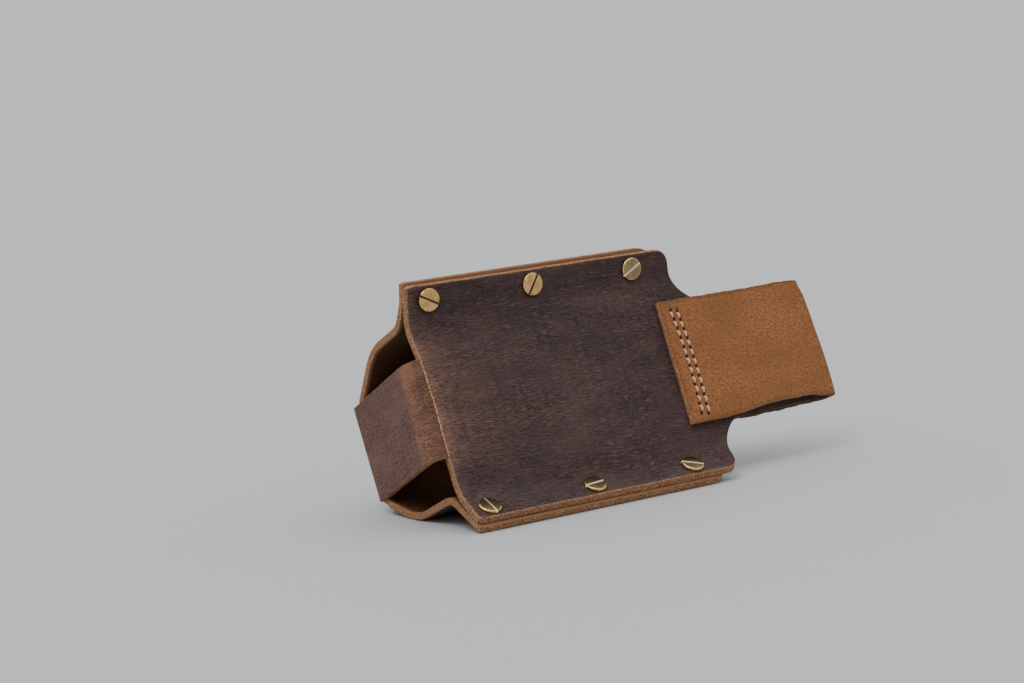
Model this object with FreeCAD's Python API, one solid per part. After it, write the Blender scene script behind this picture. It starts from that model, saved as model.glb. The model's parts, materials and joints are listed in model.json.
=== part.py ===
"""Leather tool pouch for a belt: one folded hide, closed along both sides by post-and-screw rivets.

The hide is a single cut of thick harness leather. It runs from the sewn end of the belt loop, round the
loop's fold, down the back panel, across the bottom strap and up the front panel, whose belly stands out
round the pocket. The two panels meet in flanges at both sides, and three two-part screws hold each flange.

Build frame, before the pouch is laid down: +X runs from the bottom strap to the mouth, +Y from the flat
back panel to the belly, and Z across the width, with Z = 0 in the plane of symmetry. The back panel's
outside is the plane Y = 0 and the fold line of the bottom strap is X = 0.

Row frame: the pouch lies on its side on a table, on the lower flange's edge and on the belly, so that the
back panel leans away from the vertical. +Z is up and the origin is the bottom centre of the whole.
All sizes are in millimetres.
"""

import FreeCAD
import Part

import math
import os

Vector = FreeCAD.Vector

# The hide
LEATHER = 3.0               # thickness of the hide everywhere
PANEL_WIDTH = 94.8          # back panel, edge to edge across its outside
FLANGE_REACH = 11.5         # from a flange's bend to its cut edge
FLANGE_TILTS = {"top": 26.0, "bottom": 41.0}    # degrees each flange curls towards the wearer
FLANGE_BEND_RADIUS = 9.0    # on the outside of the back panel
BACK_LENGTHS = {"top": 125.3, "bottom": 127.0}  # bottom fold to the back panel's shoulders
FRONT_LENGTH = 119.5        # bottom fold to the front panel's mouth edge
FRONT_OVERHANG = 1.3        # the front panel's flanges stand this far past the back panel's
SHOULDER_RADIUS = 7.0       # rounding of the back panel's mouth corners
NECK_RADIUS = 14.0          # concave sweep from the shoulders to the loop's strip

# The belly of the front panel
BELLY_WIDTH = 72.2          # outside width of the pocket
BELLY_DEPTH = 64.0          # from the back panel's outside to the belly's top
BELLY_FOOT_RADIUS = 5.0     # where the belly's wall rises from the flange
BELLY_CORNER_SHARE = 0.99   # of the half width: the radius of the belly's round back
ROUND_FROM = 42.0           # distance from the bottom fold where the belly is fully round
END_WALL_HEIGHT = 36.5      # height of the straight wall at the bottom fold
END_WALL_RADIUS = 20.0      # rounding above that wall
END_TOP_RADIUS = 5.0        # rounding beside the bottom strap

# The bottom strap
STRAP_WIDTH = 40.0
STRAP_BULGE = 8.4           # how far the strap stands out past the bottom fold
STRAP_BEND_RADIUS = 7.0
STRAP_FAR_LEAD = 1.6        # stand-off of the sharp fold beside the front panel
STRAP_FOLD_RADIUS = 1.4

# The belt loop
LOOP_WIDTH = 52.2
LOOP_END = 113.2            # where the sewn end of the strip begins
LOOP_TIP = 190.0            # outside of the loop's fold
LOOP_GAP = 4.2              # room for the belt's thickness
LOOP_SPLAY = 147.0          # where the two layers have parted fully
LOOP_BEND_RADIUS = 12.0
LAYER_CLEARANCE = 0.3       # between the two layers where they part
FLEX_LINE = 128.5           # the loop bends across this line, past the seam
FLEX_GAP = 2.4              # room at that line for the loop to bend both ways

# The two-part screws
SCREW_PLACES = {"top": (9.6, 58.0, 106.6), "bottom": (8.2, 57.2, 105.0)}
SCREW_FROM_BEND = 5.4       # along the flange from its bend
HEAD_RADIUS = 4.7
HEAD_RIM = 0.8              # height of the head's straight rim
HEAD_DOME = 0.7             # height of the dome above that rim
SLOT_WIDTH = 0.8
SLOT_DEPTH = 0.9
BARREL_RADIUS = 2.5
BARREL_SHORT = 0.4          # gap between the barrel's end and the screw's head
BARREL_CLEARANCE = 0.1      # radial, between a barrel and its hole in the leather
SHANK_RADIUS = 1.9
SHANK_LENGTH = 4.4
SHANK_CLEARANCE = 0.05      # radial, between the screw's shank and the post's bore
BORE_LENGTH = 5.0
SLOT_ANGLES = {"top": (153, 59, 30), "bottom": (94, 6, 151)}   # degrees from the pouch's length
SEAT_CLEARANCE = 0.1        # radial, round a head in the seat it presses into the leather

# The seam
SEAM_ROWS = (119.3, 122.4)
SEAM_SHIFTS = (-0.25, -0.9)   # of each row across the width
STITCH_PITCH = 4.05
STITCH_HOLES = 12
THREAD_RADIUS = 0.45
THREAD_LEG_RADIUS = 0.35
THREAD_CLEARANCE = 0.02     # between a run of thread and the leather
THREAD_OVERRUN = 0.7        # of a run past its last holes
HOLE_RADIUS = 0.75

# What follows from those
HALF_BELLY = BELLY_WIDTH / 2
SIGN = {"top": 1, "bottom": -1}     # of Z on each side
FAR = 200.0                 # longer than anything here, for tools that cut right through


def flange_bend(row):
    """Where a flange leaves the back panel's outside: (y, distance from the plane of symmetry)."""
    return 0, PANEL_WIDTH / 2 - FLANGE_REACH * math.cos(math.radians(FLANGE_TILTS[row]))


def flange_point(row, along, out):
    """A point of a flange: so far along it from its bend, and so far out through the layers."""
    tilt = math.radians(FLANGE_TILTS[row])
    y, z = flange_bend(row)
    deep = y - along * math.sin(tilt) + out * math.cos(tilt)
    wide = z + along * math.cos(tilt) + out * math.sin(tilt)
    return deep, wide


def resting_lean():
    """Angle between the width and the vertical when the lower flange's edge and the belly share a floor."""
    belly_centre = BELLY_DEPTH - HALF_BELLY
    tip = flange_point("bottom", FLANGE_REACH + FRONT_OVERHANG, 2 * LEATHER)
    across, deep = tip[1], belly_centre - tip[0]
    return math.acos(HALF_BELLY / math.hypot(across, deep)) - math.atan2(deep, across)


def turn_at(before, corner, after):
    """Signed turn of a path at a corner, in radians, positive to the left."""
    entering = math.atan2(corner[1] - before[1], corner[0] - before[0])
    leaving = math.atan2(after[1] - corner[1], after[0] - corner[0])
    return (leaving - entering + math.pi) % (2 * math.pi) - math.pi


def shifted(points, distance):
    """The corners of an open path moved to its left by a distance, each side staying parallel to itself."""
    sides = []
    for (x0, y0), (x1, y1) in zip(points, points[1:]):
        length = math.hypot(x1 - x0, y1 - y0)
        along = ((x1 - x0) / length, (y1 - y0) / length)
        sides.append((along, (x0 - along[1] * distance, y0 + along[0] * distance)))
    (ax, ay), (px, py) = sides[0]
    moved = [(px, py)]
    for ((ax, ay), (px, py)), ((bx, by), (qx, qy)) in zip(sides, sides[1:]):
        reach = ((qx - px) * by - (qy - py) * bx) / (ax * by - ay * bx)
        moved.append((px + ax * reach, py + ay * reach))
    (bx, by), _ = sides[-1]
    last = points[-1]
    moved.append((last[0] - by * distance, last[1] + bx * distance))
    return moved


def path_edges(points, radii, to_space):
    """Straight runs and tangent arcs along an open path. A corner with no positive radius stays sharp."""
    edges = []
    start = points[0]
    for index, radius in enumerate(radii, start=1):
        before, corner, after = points[index - 1], points[index], points[index + 1]
        if radius <= 0:
            edges.append(Part.LineSegment(to_space(start), to_space(corner)).toShape())
            start = corner
            continue
        turn = turn_at(before, corner, after)
        cut = radius * math.tan(abs(turn) / 2)
        into = math.atan2(corner[1] - before[1], corner[0] - before[0])
        out = into + turn
        first = (corner[0] - cut * math.cos(into), corner[1] - cut * math.sin(into))
        last = (corner[0] + cut * math.cos(out), corner[1] + cut * math.sin(out))
        depth = radius * (1 / math.cos(turn / 2) - 1)
        inward = (into + out) / 2 + math.copysign(math.pi / 2, turn)
        middle = (corner[0] + depth * math.cos(inward), corner[1] + depth * math.sin(inward))
        edges.append(Part.LineSegment(to_space(start), to_space(first)).toShape())
        edges.append(Part.Arc(to_space(first), to_space(middle), to_space(last)).toShape())
        start = last
    edges.append(Part.LineSegment(to_space(start), to_space(points[-1])).toShape())
    return edges


def sheet_wire(points, radii, near, far, to_space):
    """Closed outline of a bent sheet whose two faces lie at two distances to the left of one path."""
    turns = [turn_at(*points[i:i + 3]) for i in range(len(points) - 2)]
    sides = []
    for distance in (near, far):
        bent = [r - distance * math.copysign(1, t) if r > 0 else 0 for r, t in zip(radii, turns)]
        sides.append((shifted(points, distance), bent))
    (first, first_radii), (second, second_radii) = sides
    edges = path_edges(first, first_radii, to_space)
    edges.append(Part.LineSegment(to_space(first[-1]), to_space(second[-1])).toShape())
    edges += path_edges(second[::-1], second_radii[::-1], to_space)
    edges.append(Part.LineSegment(to_space(second[0]), to_space(first[0])).toShape())
    return Part.Wire(edges)


def across_plane(x):
    """Turns (y, z) in the plane across the pouch at x into a point."""
    return lambda point: Vector(x, point[0], point[1])


def along_plane(z):
    """Turns (x, y) in the plane along the pouch at z into a point."""
    return lambda point: Vector(point[0], point[1], z)


def both_sides(half):
    """A path across the pouch from a function that gives each side's corners, from the edge inwards."""
    return half("top") + [(y, -z) for y, z in reversed(half("bottom"))]


def hide_outline():
    """The back panel and the loop's strip seen square on, as a prism that trims both."""
    half_strip = LOOP_WIDTH / 2
    diagonal = math.sqrt(0.5)

    def side(row):
        edge = flange_point(row, FLANGE_REACH, LEATHER)[1] + 0.1
        shoulder = BACK_LENGTHS[row]
        corner = shoulder - SHOULDER_RADIUS
        neck = shoulder + NECK_RADIUS

        def at(x, z):
            return Vector(x, -FAR, SIGN[row] * z)

        shoulder_centre = edge - SHOULDER_RADIUS
        neck_centre = half_strip + NECK_RADIUS
        return [
            Part.LineSegment(at(0, FAR), at(corner, FAR)).toShape(),
            Part.LineSegment(at(corner, FAR), at(corner, edge)).toShape(),
            Part.Arc(at(corner, edge),
                     at(corner + SHOULDER_RADIUS * diagonal, shoulder_centre + SHOULDER_RADIUS * diagonal),
                     at(shoulder, shoulder_centre)).toShape(),
            Part.LineSegment(at(shoulder, shoulder_centre), at(shoulder, neck_centre)).toShape(),
            Part.Arc(at(shoulder, neck_centre),
                     at(neck - NECK_RADIUS * diagonal, neck_centre - NECK_RADIUS * diagonal),
                     at(neck, half_strip)).toShape(),
            Part.LineSegment(at(neck, half_strip), at(FAR, half_strip)).toShape(),
        ]

    ends = [
        Part.LineSegment(Vector(0, -FAR, FAR), Vector(0, -FAR, -FAR)).toShape(),
        Part.LineSegment(Vector(FAR, -FAR, half_strip), Vector(FAR, -FAR, -half_strip)).toShape(),
    ]
    wire = Part.Wire(Part.__sortEdges__(side("top") + side("bottom") + ends))
    return Part.Face(wire).extrude(Vector(0, 2 * FAR, 0))


def screw_sites():
    """Name, place on the back panel's outside, outward direction and slot angle of each two-part screw."""
    sites = []
    for row, sign in SIGN.items():
        tilt = math.radians(FLANGE_TILTS[row])
        outward = Vector(0, -math.cos(tilt), -sign * math.sin(tilt))
        y, z = flange_point(row, SCREW_FROM_BEND, 0)
        for number, (x, angle) in enumerate(zip(SCREW_PLACES[row], SLOT_ANGLES[row]), start=1):
            sites.append((f"{row}_{number}", Vector(x, y, sign * z), outward, angle))
    return sites


def drilled_for_screws(leather):
    """A panel with a hole for each barrel."""
    for _, place, outward, _ in screw_sites():
        start = place + outward * LEATHER
        radius = BARREL_RADIUS + BARREL_CLEARANCE
        leather = leather.cut(Part.makeCylinder(radius, 4 * LEATHER, start, outward * -1))
    return leather


def seam_holes():
    """Row, x and z of every stitch hole."""
    middle = (STITCH_HOLES - 1) / 2
    return [
        (row, x, (index - middle) * STITCH_PITCH + shift)
        for row, (x, shift) in enumerate(zip(SEAM_ROWS, SEAM_SHIFTS))
        for index in range(STITCH_HOLES)
    ]


def pierced_for_seam(leather):
    """A layer with every stitch hole through it."""
    pins = [
        Part.makeCylinder(HOLE_RADIUS, 4 * LEATHER, Vector(x, -2 * LEATHER, z), Vector(0, 1, 0))
        for _, x, z in seam_holes()
    ]
    return leather.cut(Part.makeCompound(pins))


def back_panel(outline):
    """The flat panel against the wearer, with its curled flanges, shoulders and the start of the neck."""
    path = both_sides(lambda row: [flange_point(row, FLANGE_REACH, 0), flange_bend(row)])
    radii = [FLANGE_BEND_RADIUS, FLANGE_BEND_RADIUS]
    wire = sheet_wire(path, radii, 0, LEATHER, across_plane(0))
    sheet = Part.Face(wire).extrude(Vector(FLEX_LINE - FLEX_GAP / 2, 0, 0))
    panel = pierced_for_seam(drilled_for_screws(sheet.common(outline)))
    for _, place, outward, _ in screw_sites():
        panel = panel.cut(Part.makeCylinder(HEAD_RADIUS + SEAT_CLEARANCE, LEATHER, place, outward))
    return panel


def belly_wire(x):
    """Section of the front panel: square beside the bottom fold, and round from ROUND_FROM on."""
    if x < ROUND_FROM:
        wall, top = END_WALL_HEIGHT, STRAP_WIDTH / 2
        wall_radius, top_radius = END_WALL_RADIUS, END_TOP_RADIUS
    else:
        eighth = HALF_BELLY * math.tan(math.pi / 8)
        wall, top = BELLY_DEPTH - HALF_BELLY + eighth, eighth
        wall_radius = top_radius = HALF_BELLY * BELLY_CORNER_SHARE

    def half(row):
        tip = flange_point(row, FLANGE_REACH + FRONT_OVERHANG, 2 * LEATHER)
        foot = tip[0] + (tip[1] - HALF_BELLY) * math.tan(math.radians(FLANGE_TILTS[row]))
        return [tip, (foot, HALF_BELLY), (wall, HALF_BELLY), (BELLY_DEPTH, top)]

    radii = [BELLY_FOOT_RADIUS, wall_radius, top_radius]
    return sheet_wire(both_sides(half), radii + radii[::-1], 0, -LEATHER, across_plane(x))


def front_panel():
    """The panel with the belly. Its flanges lie on the back panel's."""
    sections = [belly_wire(x) for x in (0, ROUND_FROM, FRONT_LENGTH)]
    return drilled_for_screws(Part.makeLoft(sections, True, True))


def bottom_strap():
    """The narrow bridge between the panels that closes the bottom and leaves its corners open."""
    path = [(0, 0), (-STRAP_BULGE, 0), (-STRAP_FAR_LEAD, BELLY_DEPTH), (0, BELLY_DEPTH)]
    radii = [STRAP_BEND_RADIUS, STRAP_FOLD_RADIUS]
    wire = sheet_wire(path, radii, 0, -LEATHER, along_plane(-STRAP_WIDTH / 2))
    strap = Part.Face(wire).extrude(Vector(0, 0, STRAP_WIDTH))
    room = Part.makeBox(FAR, 2 * FAR, STRAP_WIDTH, Vector(-FAR, -FAR, -STRAP_WIDTH / 2))
    return strap.common(room)


def belt_loop(outline):
    """The strip past the flex line: out along the back, round the fold, and back towards the seam."""
    start = FLEX_LINE + FLEX_GAP / 2
    out = (LEATHER + LAYER_CLEARANCE) / 2
    inner = LEATHER + LOOP_GAP - out
    tip = LOOP_TIP - LEATHER / 2
    fold = (LOOP_GAP + LEATHER) / 2 - 0.05
    path = [(start, out), (LOOP_SPLAY, inner), (tip, inner), (tip, -out), (start, -out)]
    radii = [LOOP_BEND_RADIUS, fold, fold]
    wire = sheet_wire(path, radii, -LEATHER / 2, LEATHER / 2, along_plane(-LOOP_WIDTH / 2))
    strip = Part.Face(wire).extrude(Vector(0, 0, LOOP_WIDTH))
    neck_path = [(start, out), (LOOP_SPLAY, inner)]
    neck_wire = sheet_wire(neck_path, [], -LEATHER / 2, LEATHER / 2, along_plane(-FAR / 2))
    neck = Part.Face(neck_wire).extrude(Vector(0, 0, FAR)).common(outline)
    return strip.fuse(neck).removeSplitter()


def belt_loop_end():
    """The sewn end of the strip, up to the flex line."""
    length = FLEX_LINE - FLEX_GAP / 2 - LOOP_END
    corner = Vector(LOOP_END, -LEATHER, -LOOP_WIDTH / 2)
    return pierced_for_seam(Part.makeBox(length, LEATHER, LOOP_WIDTH, corner))


def domed_head(height_sign):
    """A screw or post head on the plane Z = 0, standing up or down from it."""
    dome_radius = (HEAD_RADIUS ** 2 + HEAD_DOME ** 2) / (2 * HEAD_DOME)
    full = HEAD_RIM + HEAD_DOME
    blank = Part.makeCylinder(HEAD_RADIUS, full)
    dome = Part.makeSphere(dome_radius, Vector(0, 0, full - dome_radius))
    head = blank.common(dome)
    if height_sign < 0:
        head.rotate(Vector(0, 0, 0), Vector(1, 0, 0), 180)
    return head


def screw(angle):
    """The male half: slotted head above Z = 0 and shank below it."""
    full = HEAD_RIM + HEAD_DOME
    corner = Vector(-2 * HEAD_RADIUS, -SLOT_WIDTH / 2, full - SLOT_DEPTH)
    slot = Part.makeBox(4 * HEAD_RADIUS, SLOT_WIDTH, full, corner)
    slot.rotate(Vector(0, 0, 0), Vector(0, 0, 1), angle)
    shank = Part.makeCylinder(SHANK_RADIUS, SHANK_LENGTH, Vector(0, 0, 0), Vector(0, 0, -1))
    return domed_head(1).cut(slot).fuse(shank)


def post():
    """The female half: head below the two layers, and a bored barrel up through them."""
    stack = 2 * LEATHER
    barrel = Part.makeCylinder(BARREL_RADIUS, stack - BARREL_SHORT, Vector(0, 0, -stack))
    head = domed_head(-1)
    head.translate(Vector(0, 0, -stack))
    bore = Part.makeCylinder(SHANK_RADIUS + SHANK_CLEARANCE, BORE_LENGTH, Vector(0, 0, -BORE_LENGTH))
    return head.fuse(barrel).cut(bore)


def seated(shape, place, outward):
    """A fastener made along Z, turned so that its slot angle counts from the pouch's length."""
    along = Vector(1, 0, 0)
    aside = outward.cross(along)
    turned = FreeCAD.Matrix(
        along.x, aside.x, outward.x, place.x,
        along.y, aside.y, outward.y, place.y,
        along.z, aside.z, outward.z, place.z,
        0, 0, 0, 1)
    return shape.transformed(turned)


def seam_thread(row):
    """One row of thread: a run on each side of the two layers and a leg in every hole."""
    holes = [(x, z) for which, x, z in seam_holes() if which == row]
    x, low, high = holes[0][0], holes[0][1], holes[-1][1]
    reach = LEATHER + THREAD_RADIUS + THREAD_CLEARANCE
    length = high - low + 2 * THREAD_OVERRUN
    runs = [
        Part.makeCylinder(THREAD_RADIUS, length, Vector(x, y, low - THREAD_OVERRUN), Vector(0, 0, 1))
        for y in (-reach, reach)
    ]
    thread = runs[0]
    for _, z in holes:
        foot = Vector(x, -reach, z)
        thread = thread.fuse(Part.makeCylinder(THREAD_LEG_RADIUS, 2 * reach, foot, Vector(0, 1, 0)))
    return thread.fuse(runs[1])


def all_pieces():
    """Every piece in the build frame, by node name."""
    outline = hide_outline()
    pieces = {
        "back_panel": back_panel(outline),
        "front_panel": front_panel(),
        "bottom_strap": bottom_strap(),
        "belt_loop": belt_loop(outline),
        "belt_loop_end": belt_loop_end(),
        "seam_thread_outer": seam_thread(0),
        "seam_thread_inner": seam_thread(1),
    }
    for name, place, outward, angle in screw_sites():
        pieces[f"screw_{name}"] = seated(screw(angle), place, outward)
        pieces[f"post_{name}"] = seated(post(), place, outward)
    return pieces


def main():
    os.makedirs("parts", exist_ok=True)
    pieces = all_pieces()
    lean = -math.degrees(resting_lean())
    for shape in pieces.values():
        shape.rotate(Vector(0, 0, 0), Vector(1, 0, 0), lean)
    box = Part.makeCompound(list(pieces.values())).optimalBoundingBox()
    origin = Vector(box.Center.x, box.Center.y, box.ZMin)
    for name, shape in pieces.items():
        shape.translate(origin * -1)
        shape.exportStep(f"parts/{name}.step")
        solids = len(shape.Solids)
        print(f"{name}: {solids} solid(s), {shape.Volume:.0f} mm3, valid {shape.isValid()}")
    print(f"lean {-lean:.3f} degrees, build origin at {-origin.x:.4f}, {-origin.y:.4f}, {-origin.z:.4f}")
    print(f"size {box.XLength:.2f} x {box.YLength:.2f} x {box.ZLength:.2f}")


main()
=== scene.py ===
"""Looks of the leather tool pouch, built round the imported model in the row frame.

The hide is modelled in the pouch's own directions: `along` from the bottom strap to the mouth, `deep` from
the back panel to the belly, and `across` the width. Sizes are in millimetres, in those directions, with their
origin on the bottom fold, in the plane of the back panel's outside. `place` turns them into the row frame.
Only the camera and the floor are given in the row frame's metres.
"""

import json
import math

import bmesh
import bpy
import numpy as np
from mathutils import Matrix, Vector, noise


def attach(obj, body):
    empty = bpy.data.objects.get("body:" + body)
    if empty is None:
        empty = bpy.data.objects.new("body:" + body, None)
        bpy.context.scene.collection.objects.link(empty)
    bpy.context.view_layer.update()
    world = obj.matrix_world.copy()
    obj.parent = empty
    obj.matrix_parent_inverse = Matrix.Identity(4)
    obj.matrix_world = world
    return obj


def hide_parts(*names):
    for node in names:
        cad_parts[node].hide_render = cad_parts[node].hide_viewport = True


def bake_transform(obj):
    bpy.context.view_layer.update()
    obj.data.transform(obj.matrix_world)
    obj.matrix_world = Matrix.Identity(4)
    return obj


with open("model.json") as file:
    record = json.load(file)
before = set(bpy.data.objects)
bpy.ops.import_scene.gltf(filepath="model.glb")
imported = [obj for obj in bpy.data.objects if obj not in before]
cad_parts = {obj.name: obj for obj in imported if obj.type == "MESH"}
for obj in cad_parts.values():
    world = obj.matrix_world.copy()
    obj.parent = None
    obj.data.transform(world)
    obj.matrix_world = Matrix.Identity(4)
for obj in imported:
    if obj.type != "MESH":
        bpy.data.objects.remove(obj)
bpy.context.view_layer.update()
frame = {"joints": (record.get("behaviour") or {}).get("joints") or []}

# The hide
THICKNESS = 2.93
CAD_THICKNESS = 3.0
FLANGE_REACH = 11.5
FRONT_OVERHANG = {1: 1.3, -1: 1.15}
PANEL_WIDTH = 94.8
FLANGE_TILTS = {1: math.radians(26.0), -1: math.radians(41.0)}      # by side of `across`
FLANGE_BENDS = {1: 14.0, -1: 10.0}
FLAT_FROM = 60.0            # from here on the back panel's section no longer waves
SHOULDERS = {1: (125.0, 125.9), -1: (125.9, 129.1)}     # along, at the flange's edge and at the strip
SHOULDER_RADII = {1: 5.5, -1: 8.0}
NECK_RADIUS = 14.0
FRONT_LENGTH = 119.5
HALF_BELLY = 36.1
BELLY_DEPTH = 64.0
ROUND_FROM = 42.0
HALF_STRAP = 20.0
LOOP_WIDTH = 52.2
LOOP_END = 113.2
LOOP_TIP = 190.0
LOOP_GAP = 4.2
LAYER_CLEARANCE = 0.3
FLEX_LINE = 128.5
EDGE_ROUND = 0.34           # rounding of a cut edge on its grain side
FLESH_ROUND = 0.10          # and on its flesh side
FRONT_CORNER = 7.0          # rounding of the front panel's mouth corners
NECK_START = 124.0          # from here on the hide follows the loop's path
NECK_END = 141.0            # the last row that belongs to the neck
LOOP_FROM = 17.6            # the loop's first row, along its path
FOLD_ROWS = (0, 0.4, 0.9, 1.6, 2.6)     # along, of the back panel's rows beside the bottom fold
STRAIGHT_ROWS = 88          # of the back panel, up to the shoulders

# The materials of a sheet, in their order on its mesh
GRAIN, FLESH, EDGE = 0, 1, 2

# The fasteners and the seam
HEAD_RADIUS = 4.7
SCREW_FROM_BEND = 5.4
SCREW_PLACES = {1: (9.6, 58.0, 106.6), -1: (8.2, 57.2, 105.0)}
# The screws whose slots are painted dark brown, a painted shade in the slot.
SHADED_SLOTS = ((1, 1), (1, 2))          # by side and number
SLOT_ANGLES = {1: (153, 59, 30), -1: (94, 6, 151)}
SEAM_ROWS = ((119.3, -0.25), (122.4, -0.9))
STITCH_PITCH = 4.05
STITCH_COUNT = 11

JOINT = frame["joints"][0]
ACROSS = Vector(JOINT["axis"]).normalized()
ALONG = Vector((1, 0, 0))
DEEP = ACROSS.cross(ALONG)
ORIGIN = Vector(JOINT["pos_m"]) - ALONG * FLEX_LINE / 1000
TO_ROW = np.array([ALONG, DEEP, ACROSS]) / 1000


def place(points):
    """Points in the pouch's directions, in millimetres, as points of the row frame, in metres."""
    return np.asarray(points, float) @ TO_ROW + np.array(ORIGIN)


def wavy(point, scale, seed=0.0):
    """Smooth noise in about -1..1 at a point in millimetres, over a length scale in millimetres."""
    x, y, z = point
    return noise.noise(Vector((x / scale + seed, y / scale - seed, z / scale + 3 * seed)))


def smooth(value, low, high):
    """0 below low, 1 above high and a smooth ramp between."""
    t = min(max((value - low) / (high - low), 0.0), 1.0)
    return t * t * (3 - 2 * t)


# Paths with rounded corners

class RoundedPath:
    """A polyline in a plane with a tangent arc at each inner corner, measured by length along it."""

    def __init__(self, corners, radii):
        points = [np.array(c, float) for c in corners]
        self.runs = []
        self.length = 0.0
        start = points[0]
        for corner, following, radius in zip(points[1:], points[2:], radii):
            into = (corner - start) / np.linalg.norm(corner - start)
            out = (following - corner) / np.linalg.norm(following - corner)
            turn = math.atan2(into[0] * out[1] - into[1] * out[0], into @ out)
            cut = radius * math.tan(abs(turn) / 2)
            self._line(start, corner - into * cut)
            self.runs.append(("arc", self.length, corner - into * cut, into, turn, radius))
            self.length += radius * abs(turn)
            start = corner + out * cut
        self._line(start, points[-1])

    def _line(self, start, end):
        run = np.linalg.norm(end - start)
        self.runs.append(("line", self.length, start, (end - start) / run, 0.0, run))
        self.length += run

    def at(self, distance):
        """(point, unit tangent) at a distance; straight on past either end."""
        kind, begun, start, heading, turn, size = self.runs[0]
        for run in self.runs:
            if run[1] <= distance:
                kind, begun, start, heading, turn, size = run
        travel = distance - begun
        if kind == "line":
            return start + heading * travel, heading
        angle = travel / size
        left = np.array([-heading[1], heading[0]]) * math.copysign(1, turn)
        point = start + heading * size * math.sin(angle) + left * size * (1 - math.cos(angle))
        return point, heading * math.cos(angle) + left * math.sin(angle)


def flange_bend(side):
    """Distance from the plane of symmetry where a flange leaves the back panel's plane."""
    return PANEL_WIDTH / 2 - FLANGE_REACH * math.cos(FLANGE_TILTS[side])


def flange_point(side, reach, out):
    """(deep, across) of a point of a flange, on the positive side's drawing."""
    tilt = FLANGE_TILTS[side]
    return (-reach * math.sin(tilt) + out * math.cos(tilt),
            flange_bend(side) + reach * math.cos(tilt) + out * math.sin(tilt))


BACK_SECTIONS = {
    side: RoundedPath([(0, 0), (0, flange_bend(side)), flange_point(side, FLANGE_REACH, 0)],
                      [FLANGE_BENDS[side]])
    for side in (1, -1)
}
FOLD_SECTIONS = {
    1: RoundedPath([(0, 0), (0.2, 19.0), (2.6, 33.0), flange_point(1, FLANGE_REACH, 0)], [40.0, 13.0]),
    -1: RoundedPath([(0, 0), (0.9, 20.0), (1.2, 34.5), flange_point(-1, FLANGE_REACH, 0)], [40.0, 16.0]),
}


def back_section(along, reach):
    """(deep, across) of the back panel's grain side at a signed distance across the hide."""
    side = 1 if reach >= 0 else -1
    share = smooth(along, 0, FLAT_FROM)
    flat, fold = BACK_SECTIONS[side], FOLD_SECTIONS[side]
    plain, _ = flat.at(abs(reach))
    waved, _ = fold.at(abs(reach) * fold.length / flat.length)
    deep, across = plain * share + waved * (1 - share)
    return deep, side * across


def reach_of(side, half):
    """Distance over the hide from the middle to the point that lies so far across the pouch."""
    lengths = np.linspace(0, BACK_SECTIONS[side].length, 240)
    widths = [BACK_SECTIONS[side].at(s)[0][1] for s in lengths]
    return float(np.interp(half, widths, lengths))


# Meshes

def new_mesh(name, points, faces, materials):
    """A mesh from points in the pouch's directions, with its materials."""
    mesh = bpy.data.meshes.new(name)
    mesh.from_pydata(place(points).tolist(), [], faces)
    for material in materials:
        mesh.materials.append(material)
    return mesh


def add_vectors(mesh, label, vectors):
    """One vector at each point of a mesh, for its material to read."""
    extra = mesh.attributes.new(label, "FLOAT_VECTOR", "POINT")
    extra.data.foreach_set("vector", np.asarray(vectors, np.float32).ravel())


def link(obj):
    bpy.context.scene.collection.objects.link(obj)


def new_piece(name, mesh):
    """An object made of a mesh, with smooth faces that all look out."""
    mesh.validate()
    obj = bpy.data.objects.new(name, mesh)
    link(obj)
    work = bmesh.new()
    work.from_mesh(mesh)
    bmesh.ops.recalc_face_normals(work, faces=work.faces)
    work.to_mesh(mesh)
    work.free()
    mesh.polygons.foreach_set("use_smooth", [True] * len(mesh.polygons))
    return obj


def tube_faces(first, rings, sides):
    """The faces of a closed tube, from the number of its first point."""
    faces = []
    for ring in range(first, first + (rings - 1) * sides, sides):
        for j in range(sides):
            a, b = ring + j, ring + (j + 1) % sides
            faces.append((a, b, b + sides, a + sides))
    last = first + (rings - 1) * sides
    return faces + [tuple(range(first, first + sides))[::-1], tuple(range(last, last + sides))]


def grid_directions(grid):
    """Steps along and across a grid of points, and its unit normals."""
    along = np.gradient(grid, axis=0)
    across = np.gradient(grid, axis=1)
    normal = np.cross(along, across)
    return along, across, normal / np.linalg.norm(normal, axis=2, keepdims=True)


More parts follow.
